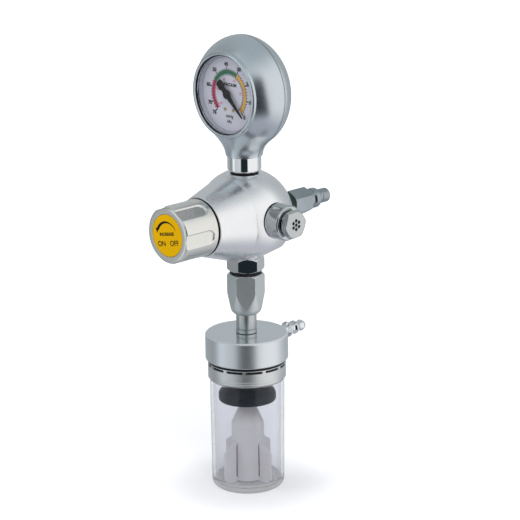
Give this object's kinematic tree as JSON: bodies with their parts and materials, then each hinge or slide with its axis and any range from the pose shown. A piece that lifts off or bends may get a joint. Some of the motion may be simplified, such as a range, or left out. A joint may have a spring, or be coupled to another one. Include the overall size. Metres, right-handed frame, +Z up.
{
  "type": "vacuum regulator",
  "caption": "Ball-shaped vacuum regulator with a round dial gauge above, a fluted knob in front, a wall probe behind and a clear trap jar with a float below.",
  "frame": {"origin": "centre of the jar's base, on the surface that it stands on", "axes": "+Z up along the jar's axis, the knob and the dial face -Y, the relief valve is on +X, the wall probe points to +Y"},
  "size_m": [0.0846, 0.1479, 0.3095],
  "materials": {
    "black_rubber": "black",
    "brass": "machined",
    "chrome": "polished",
    "clear_plastic": "clear",
    "dial_white": "matt print on light grey",
    "float_white": "moulded",
    "green_rubber": "dark green",
    "label_yellow": "printed label",
    "pointer_black": "matt black",
    "satin_aluminium": "satin anodised",
    "silver_housing": "satin silver paint",
    "steel": "plain",
    "zinc_plate": "zinc plated"
  },
  "bodies": {
    "frame": {"bonnet": "satin_aluminium", "bourdon_tube": "brass", "dial_plate": "dial_white", "dial_screw_left": "brass", "dial_screw_right": "brass", "diaphragm": "black_rubber", "float_seat": "brass", "gauge_back_shell": "silver_housing", "gauge_collar": "chrome", "gauge_front_shell": "silver_housing", "gauge_lens": "clear_plastic", "gauge_seal": "black_rubber", "gauge_socket": "brass", "hairspring": "steel", "hose_barb": "chrome", "jar_lid": "satin_aluminium", "knob_seal_ring": "black_rubber", "lens_gasket": "black_rubber", "lid_gasket": "black_rubber", "lid_ring": "black_rubber", "movement_back_plate": "brass", "movement_front_plate": "brass", "movement_pillar_left": "brass", "movement_pillar_right": "brass", "movement_screw_left": "steel", "movement_screw_right": "steel", "outlet_nut": "chrome", "outlet_seal": "black_rubber", "outlet_stem": "chrome", "probe": "zinc_plate", "probe_seal_ring": "green_rubber", "regulating_spring": "steel", "regulator_body": "satin_aluminium", "relief_body": "chrome", "relief_cap": "chrome", "relief_seal": "black_rubber", "relief_spring": "steel", "shell_screw_left": "steel", "shell_screw_right": "steel", "tube_tip": "brass", "union_nut": "satin_aluminium", "valve_seat": "brass", "valve_spring": "steel"},
    "knob_body": {"knob": "satin_aluminium", "knob_label": "label_yellow", "knob_screw": "steel", "spindle": "steel"},
    "seat_body": {"spring_seat": "brass"},
    "valve_body": {"valve_poppet": "brass", "diaphragm_plate": "satin_aluminium"},
    "relief_poppet_body": {"relief_poppet": "brass"},
    "sector_body": {"sector_gear": "brass"},
    "pointer_body": {"pointer": "pointer_black", "pointer_arbor": "steel"},
    "link_body": {"movement_link": "brass"},
    "jar_body": {"jar": "clear_plastic", "jar_collar": "satin_aluminium"},
    "float_group": {"float_body": "float_white", "float_seal": "black_rubber"}
  },
  "joints": [
    {"name": "knob_turn", "type": "hinge", "parent": "frame", "child": "knob_body", "pos_m": [0, -0.05, 0.1887], "axis": [0, -1, 0], "range_deg": [0, 900]},
    {"name": "seat_slide", "type": "slide", "parent": "frame", "child": "seat_body", "axis": [0, 1, 0], "range_m": [0, 0.00313], "deforming": ["regulating_spring"]},
    {"name": "valve_slide", "type": "slide", "parent": "frame", "child": "valve_body", "axis": [0, 1, 0], "range_m": [0, 0.0012], "stiffness_N_per_m": 800, "springref_m": -0.002, "deforming": ["valve_spring", "diaphragm"]},
    {"name": "relief_slide", "type": "slide", "parent": "frame", "child": "relief_poppet_body", "axis": [1, 0, 0], "range_m": [0, 0.0015], "stiffness_N_per_m": 400, "springref_m": -0.003, "deforming": ["relief_spring"]},
    {"name": "sector_turn", "type": "hinge", "parent": "frame", "child": "sector_body", "pos_m": [0, -0.00638, 0.25778], "axis": [0, -1, 0], "range_deg": [-33.75, 0], "stiffness_Nm_per_rad": 0.05},
    {"name": "pointer_turn", "type": "hinge", "parent": "frame", "child": "pointer_body", "pos_m": [0, -0.0145, 0.2723], "axis": [0, -1, 0], "range_deg": [0, 270], "deforming": ["hairspring"]},
    {"name": "link_turn", "type": "hinge", "parent": "sector_body", "child": "link_body", "pos_m": [-0.00512, -0.00638, 0.25688], "axis": [0, -1, 0], "range_deg": [0, 33.75]},
    {"name": "jar_turn", "type": "hinge", "parent": "frame", "child": "jar_body", "pos_m": [0, 0, 0], "axis": [0, 0, -1], "range_deg": [0, 720]},
    {"name": "float_slide", "type": "slide", "parent": "jar_body", "child": "float_group", "axis": [0, 0, 1], "range_m": [0, 0.0117]}
  ],
  "couplings": [
    {"joint": "seat_slide", "follows": "knob_turn", "m_per_rad": 0.00019894},
    {"joint": "pointer_turn", "follows": "sector_turn", "ratio": -8},
    {"joint": "link_turn", "follows": "sector_turn", "ratio": -1}
  ]
}
